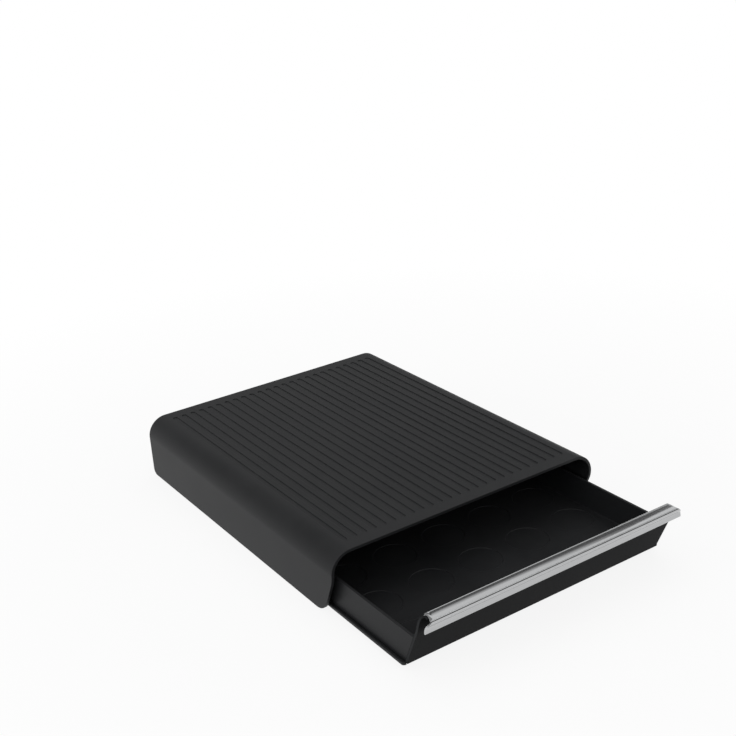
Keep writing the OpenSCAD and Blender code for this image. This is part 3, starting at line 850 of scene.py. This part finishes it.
def make_screws(name, body, replaced, round_head, length, places):
    """A set of one kind of screw, as one piece of separate solids. Each is turned by itself."""
    first_turn, next_turn = 11, 37
    master = screw_blank(round_head, length)
    blank = bpy.data.meshes.new("screw")
    master.to_mesh(blank)
    master.free()
    bm = bmesh.new()
    for k, place in enumerate(places):
        before = len(bm.verts)
        bm.from_mesh(blank)
        bm.verts.ensure_lookup_table()
        turn = Matrix.Rotation(math.radians(next_turn * k + first_turn), 4, "Z")
        bmesh.ops.transform(bm, matrix=place @ turn, verts=bm.verts[before:])
    bpy.data.meshes.remove(blank)
    finish_piece(bm, name, body, STEEL, [replaced])


def make_all_screws():
    """The four sets of screws."""
    up = [Matrix.Translation((x, y, BASE_BOTTOM_Z)) for x, y in flat_screw_places()]
    in_guides = 2 * GUIDE_SCREW_COUNT
    make_screws(
        "guide_screw_set", "housing", "guide_screws", False, FLAT_SCREW_L, up[:in_guides]
    )
    make_screws("base_screw_set", "housing", "base_screws", False, FLAT_SCREW_L, up[in_guides:])
    rear = [
        Matrix.Translation((x, REAR_OUT_Y, DECK_UNDER_Z - BLOCK_W / 2))
        @ Matrix.Rotation(math.pi / 2, 4, "X")
        for x in rear_screw_xs()
    ]
    make_screws("rear_screw_set", "housing", "rear_screws", True, REAR_SCREW_L, rear)
    front = [
        Matrix.Translation((i * PITCH_X, face_y(PANEL_SCREW_Z, 0), PANEL_SCREW_Z))
        @ Matrix.Rotation(math.radians(90 + LEAN), 4, "X")
        @ Matrix.Translation((0, 0, -PANEL_T - FRONT_WALL))
        for i in (-1.5, -0.5, 0.5, 1.5)
    ]
    make_screws("panel_screw_set", "drawer", "panel_screws", True, PANEL_SCREW_L, front)


# ---- Drawer ----

def tray_cutter(low_z, high_z, floor_z):
    """A block between the tray's inner walls, with a leaning front. Its edges are round where it
    meets the floor, at floor_z."""
    bm = bmesh.new()
    behind = PANEL_T + FRONT_WALL
    inner = Outline(bm, face_y(low_z, behind), low_z, 0)
    inner.to(TRAY_REAR_IN_Y, low_z).to(TRAY_REAR_IN_Y, high_z).to(face_y(high_z, behind), high_z)
    across(bm, inner.close(), TRAY_IN_W)
    corner_r, floor_r = 2.5, 1.0
    upright = [e for e in bm.edges if abs(e.verts[0].co.z - e.verts[1].co.z) > 2 * PAST]
    round_off(bm, upright, corner_r, 5)
    at_floor = [e for e in bm.edges if all(abs(v.co.z - floor_z) < WELD for v in e.verts)]
    round_off(bm, at_floor, floor_r, 3)
    return solid(bm)


def make_tray():
    """A shallow box with thin walls on a skirt. Its front leans with the panel, and its floor
    has a shallow seat for each pod."""
    bm = bmesh.new()
    body = Outline(bm, face_y(TRAY_BOTTOM_Z, PANEL_T), TRAY_BOTTOM_Z, 0)
    body.to(TRAY_REAR_Y, TRAY_BOTTOM_Z).to(TRAY_REAR_Y, TRAY_TOP_Z)
    body.to(face_y(TRAY_TOP_Z, PANEL_T), TRAY_TOP_Z)
    across(bm, body.close(), TRAY_W)
    outer = solid(bm)
    seats = bmesh.new()
    seat_d, low_r, high_r = 0.6, 18.7, 19.3
    seat = [(0, 0), (low_r, 0), (high_r, PAST), (0, PAST)]
    for i in range(PODS_ACROSS):
        for j in range(PODS_DEEP):
            x, y = (i - PODS_ACROSS // 2) * PITCH_X, FIRST_ROW_Y + j * PITCH_Y
            drum(seats, seat, 64, Matrix.Translation((x, y, FLOOR_Z - seat_d)))
    bm = machine(outer, [
        ("DIFFERENCE", tray_cutter(FLOOR_Z, TRAY_TOP_Z + 2 * PAST, FLOOR_Z)),
        ("DIFFERENCE", tray_cutter(TRAY_BOTTOM_Z - 2 * PAST, FLOOR_UNDER_Z, FLOOR_UNDER_Z)),
        ("DIFFERENCE", solid(seats)),
    ])
    finish_piece(bm, "tray", "drawer", TRAY, ["drawer_tray"], 0.3, 3)


def make_runner(side, hand):
    """A rail along the tray's foot, with a round outer edge and a fine channel at the wall."""
    bm = bmesh.new()
    channel_w, channel_d, low_r, high_r = 0.9, 0.8, 0.3, 0.9
    r = Outline(bm, TRAY_HALF, TRAY_BOTTOM_Z, 0, "XZ")
    r.run(RUNNER_OUT - low_r).turn(low_r, 90, 3).run(RUNNER_H - low_r - high_r)
    r.turn(high_r, 90, 6).to(TRAY_HALF + channel_w, TRAY_BOTTOM_Z + RUNNER_H)
    r.to(TRAY_HALF + channel_w, TRAY_BOTTOM_Z + RUNNER_H - channel_d)
    r.to(TRAY_HALF, TRAY_BOTTOM_Z + RUNNER_H - channel_d)
    face = r.close()
    y0 = DRAWER_Y + LEAN_RUN
    bmesh.ops.translate(bm, verts=face.verts, vec=(0, y0, 0))
    pull(bm, face, Vector((0, TRAY_REAR_Y - y0, 0)))
    plan = bmesh.new()
    plan_in, plan_h, end_r = 9, 20, 2.9
    ends = block(
        plan, (TRAY_HALF - plan_in, y0, 0), (TRAY_HALF + RUNNER_OUT, TRAY_REAR_Y, plan_h)
    )
    outer = [e for e in edges_of(ends, (0, 0, 1)) if e.verts[0].co.x > TRAY_HALF]
    round_off(plan, outer, end_r, 8)
    bm = machine(solid(bm), [("INTERSECT", solid(plan))])
    mirror_over(bm, side)
    finish_piece(
        bm, hand + "_runner", "drawer", GUIDE, ["runner_" + hand], 0.15, 2
    )


def make_stop(side, hand):
    """A block on the tray. Its front face meets the guide's tab when the drawer is fully out,
    and its outer rear edge is round."""
    bm = bmesh.new()
    length, bottom_z, gap, edge_r = 10, 10.0, 0.4, 1.2
    y0 = BASE_FRONT_Y + TAB_L + TRAVEL - OPEN
    verts = block(bm, (TRAY_HALF, y0, bottom_z), (GUIDE_OUT_X - gap, y0 + length, STOP_TOP_Z))
    outer_rear = [
        e for e in edges_of(verts, (0, 0, 1))
        if e.verts[0].co.x > TRAY_HALF + PAST and e.verts[0].co.y > y0 + PAST
    ]
    round_off(bm, outer_rear, edge_r, 4)
    mirror_over(bm, side)
    finish_piece(
        bm, hand + "_stop", "drawer", GUIDE, ["stop_" + hand], 0.25, 3
    )


def front_shape():
    """The front outline that the panel and the handle share, as a trimming block."""
    bm = bmesh.new()
    before, behind, over, corner_r, foot_r = 20, 30, 0.2, 12.0, 1.6
    verts = block(
        bm, (-TRAY_HALF, DRAWER_Y - before, PANEL_BOTTOM_Z),
        (TRAY_HALF, DRAWER_Y + behind, HANDLE_TOP_Z + over),
    )
    upper = edges_of(verts, (0, 1, 0), low_z=(PANEL_BOTTOM_Z + HANDLE_TOP_Z) / 2)
    round_off(bm, upper, corner_r, 14)
    lower = [
        e for e in bm.edges
        if max(v.co.z for v in e.verts) < PANEL_BOTTOM_Z + WELD
        and abs(e.verts[0].co.y - e.verts[1].co.y) > PAST
    ]
    round_off(bm, lower, foot_r, 6)
    return solid(bm)


def make_panel():
    """The front panel: leaning, then upright, curled forward, with a thin lip under the handle."""
    bm = bmesh.new()
    p = Outline(bm, DRAWER_Y + LEAN_RUN, PANEL_BOTTOM_Z, 90 + LEAN)
    lip_a = 10
    p.run(LEAN_L).turn(BEND_R, -LEAN, 12).run(UPRIGHT_L)
    p.turn(CURL_R, 90, 11).turn(ROLL_R - PANEL_T, lip_a, 3)
    p.corner(-90).run(PANEL_T - STRIP_T).corner(-90)
    p.turn(ROLL_R - STRIP_T, -lip_a, 3).turn(CURL_R + PANEL_T - STRIP_T, -STRIP_A, 5)
    p.corner(90).run(STRIP_T).corner(-90)
    p.turn(CURL_R + PANEL_T, STRIP_A - 90, 6).run(UPRIGHT_L)
    p.turn(BEND_R - PANEL_T, LEAN, 12).run(LEAN_L)
    across(bm, p.close(), TRAY_W + SPARE)
    bm = machine(solid(bm), [("INTERSECT", front_shape())])
    finish_piece(bm, "panel", "drawer", PANEL, ["front_panel"], 0.35, 3)


def make_handle():
    """The metal strip: it follows the panel's curl, rolls forward to a fine groove, and
    hooks down over the nose to an upright foot."""
    bm = bmesh.new()
    outer_r, inner_r = CURL_R + PANEL_T, CURL_R + PANEL_T - STRIP_T
    rest = math.radians(90 - STRIP_A)
    s = Outline(
        bm, DRAWER_Y + SPARE + outer_r * math.cos(rest) - CURL_R,
        HANDLE_TOP_Z - outer_r * (1 - math.sin(rest)), 180 - STRIP_A,
    )
    nose_r, nose_a, fall_l, flare_r, flare_a = 1.6, 98, 2.8, 5.0, 33
    foot_l, toe_r, heel_r = 2.6, 0.6, 0.3
    s.turn(outer_r, STRIP_A, 8).turn(ROLL_R, ROLL_A, 10)
    s.turn(nose_r, nose_a, 12).run(fall_l).turn(flare_r, -flare_a, 8).run(foot_l)
    s.turn(toe_r, 90, 5).run(STRIP_T - toe_r - heel_r).turn(heel_r, 90, 3)
    s.run(foot_l + toe_r - heel_r).turn(flare_r + STRIP_T, flare_a, 8).run(fall_l)
    s.turn(nose_r - STRIP_T, -nose_a, 5)
    s.turn(ROLL_R - STRIP_T, -ROLL_A, 10).turn(inner_r, -STRIP_A, 8)
    across(bm, s.close(), TRAY_W + SPARE)
    groove = bmesh.new()
    groove_tilt, half_w, half_l = ROLL_A + 5, GROOVE_W / 2, TRAY_HALF + PAST
    place = Matrix.Translation((0, GROOVE_Y, GROOVE_Z))
    place = place @ Matrix.Rotation(math.radians(groove_tilt), 4, "X")
    block(groove, (-half_l, -half_w, -GROOVE_D), (half_l, half_w, PAST), place)
    bm = machine(solid(bm), [("INTERSECT", front_shape()), ("DIFFERENCE", solid(groove))])
    finish_piece(bm, "handle", "drawer", STRIP, ["handle_strip"], 0.12, 2)


def make_bumper(side, hand):
    """A domed rubber buffer on the tray's rear wall, on a round base."""
    rings = [
        (0, 0), (5.5, 0), (5.5, 2.6), (5.1, 3.1), (4.4, 3.3),
        (3.85, 3.4), (3.6, 4.3), (2.6, 4.8), (0, 4.9),
    ]
    bm = bmesh.new()
    place = Matrix.Translation((side * BUMPER_X, TRAY_REAR_Y, BUMPER_Z))
    place = place @ Matrix.Rotation(-math.pi / 2, 4, "X")
    drum(bm, rings, 40, place)
    replaced = "bumper_" + hand
    finish_piece(bm, "rubber_" + replaced, "drawer", RUBBER, [replaced], 0.15, 2)


def make_pair(make_one):
    """Makes the left and the right one of a piece."""
    for side, hand in SIDES:
        make_one(side, hand)


make_cover()
make_rear_panel()
make_base_plate()
make_pair(make_guide)
make_feet()
make_all_screws()
make_tray()
make_pair(make_runner)
make_pair(make_stop)
make_panel()
make_handle()
make_pair(make_bumper)


# ---- Floor, backdrop and light ----

def seen_directly(tree):
    """1 where the camera sees a thing, straight or in a reflection, and 0 where it only lights."""
    path = tree.nodes.new("ShaderNodeLightPath")
    mirrored = maths(
        tree, "MAXIMUM", path.outputs["Is Glossy Ray"], path.outputs["Is Transmission Ray"]
    )
    return maths(tree, "MAXIMUM", path.outputs["Is Camera Ray"], mirrored)


def flat_sheet(name, size, place=None):
    """A flat sheet of the studio, in metres."""
    bm = bmesh.new()
    matrix = place or Matrix()
    bmesh.ops.create_grid(bm, x_segments=1, y_segments=1, size=size, matrix=matrix)
    mesh = bpy.data.meshes.new(name)
    bm.to_mesh(mesh)
    bm.free()
    sheet = bpy.data.objects.new(name, mesh)
    scene.collection.objects.link(sheet)
    return sheet


def make_floor():
    """A pale floor that reads as white to the camera and keeps the drawer's shadow."""
    floor = flat_sheet("floor", 12.0)
    material, tree = new_material("pale floor")
    shader = tree.nodes["Principled BSDF"]
    shader.inputs["Roughness"].default_value = 0.9
    shader.inputs["Specular IOR Level"].default_value = 0.1
    place = tree.nodes.new("ShaderNodeTexCoord").outputs["Object"]
    tone = ranged(tree, noise(tree, place, 3.0, 3.0), 0.3, 0.7, 0.80, 0.84)
    tree.links.new(tone, shader.inputs["Base Color"])
    glow = tree.nodes.new("ShaderNodeEmission")
    glow.inputs["Strength"].default_value = 1.0
    reach = tree.nodes.new("ShaderNodeVectorMath")
    reach.operation = "LENGTH"
    tree.links.new(place, reach.inputs[0])
    near, far, near_glow, far_glow = 0.26, 0.75, 0.88, 1.0
    fading = ranged(tree, reach.outputs["Value"], near, far, near_glow, far_glow)
    share = maths(tree, "MULTIPLY", seen_directly(tree), fading)
    blend = tree.nodes.new("ShaderNodeMixShader")
    tree.links.new(share, blend.inputs["Fac"])
    tree.links.new(shader.outputs["BSDF"], blend.inputs[1])
    tree.links.new(glow.outputs["Emission"], blend.inputs[2])
    tree.links.new(blend.outputs["Shader"], tree.nodes["Material Output"].inputs["Surface"])
    floor.data.materials.append(material)


def make_world():
    """White where the camera and clear reflections see it, softer where it only gives light."""
    world = bpy.data.worlds.new("studio")
    scene.world = world
    world.use_nodes = True
    tree = world.node_tree
    level = ranged(tree, seen_directly(tree), 0.0, 1.0, 0.45, 1.0)
    background = tree.nodes["Background"]
    background.inputs["Color"].default_value = (1, 1, 1, 1)
    tree.links.new(level, background.inputs["Strength"])


def add_lamp(name, place, target, size, power):
    """A square soft box that looks at a target."""
    lamp = bpy.data.lights.new(name, "AREA")
    lamp.shape = "RECTANGLE"
    lamp.size, lamp.size_y = size
    lamp.energy = power
    holder = bpy.data.objects.new(name, lamp)
    look = (Vector(target) - Vector(place)).to_track_quat("-Z", "Y")
    holder.matrix_world = Matrix.Translation(place) @ look.to_matrix().to_4x4()
    scene.collection.objects.link(holder)
    return holder


def ramp(tree, value, stops):
    """A grey that follows a value through stops of (value, grey)."""
    node = tree.nodes.new("ShaderNodeValToRGB")
    steps = node.color_ramp.elements
    while len(steps) < len(stops):
        steps.new(1.0)
    for step, (place, grey) in zip(steps, stops):
        step.position = place
        step.color = (grey, grey, grey, 1)
    tree.links.new(value, node.inputs["Fac"])
    return node.outputs["Color"]


def make_card():
    """An upright card with dark bands behind the drawer, which only shows in reflections."""
    half_w, half_h, card_y, card_z = 3.2, 1.45, 1.6, 1.45
    place = Matrix.Translation((0, card_y, card_z)) @ Matrix.Rotation(math.pi / 2, 4, "X")
    place = place @ Matrix.Diagonal((half_w, half_h, 1, 1))
    card = flat_sheet("dark card", 1, place)
    card.visible_camera = card.visible_diffuse = card.visible_shadow = False
    card.visible_transmission = card.visible_volume_scatter = False
    material, tree = new_material("dark card")
    parts = parts_of(tree, tree.nodes.new("ShaderNodeTexCoord").outputs["Object"])
    glow = tree.nodes.new("ShaderNodeEmission")
    height = ranged(tree, parts["Z"], 0.0, 3.0, 0.0, 1.0)
    left = ramp(tree, height, ((0.1, 0.95), (0.3, 0.35), (0.7, 0.35), (0.95, 0.9)))
    right = ramp(
        tree, height,
        ((0.14, 0.13), (0.22, 0.9), (0.37, 0.9), (0.45, 0.1), (0.7, 0.1), (0.93, 0.9)),
    )
    blend = tree.nodes.new("ShaderNodeMix")
    blend.data_type = "RGBA"
    at = {s.name: s for s in blend.inputs if s.type == "RGBA"}
    rightward = ranged(tree, parts["X"], -0.6, 0.4, 0.0, 1.0)
    tree.links.new(rightward, blend.inputs["Factor"])
    tree.links.new(left, at["A"])
    tree.links.new(right, at["B"])
    result = next(s for s in blend.outputs if s.type == "RGBA")
    tree.links.new(result, glow.inputs["Color"])
    tree.links.new(glow.outputs["Emission"], tree.nodes["Material Output"].inputs["Surface"])
    card.data.materials.append(material)


make_floor()
make_world()
make_card()
add_lamp("left soft box", (-1.7, -0.2, 1.1), (0, 0, 0.03), (2.4, 1.8), 16)
add_lamp("front soft box", (0.3, -2.0, 1.4), (0, -0.05, 0.03), (2.2, 1.4), 8)
top_lamp = add_lamp("top soft box", (0.2, 0.3, 2.0), (0, 0, 0), (2.0, 2.0), 12)
top_lamp.visible_glossy = False
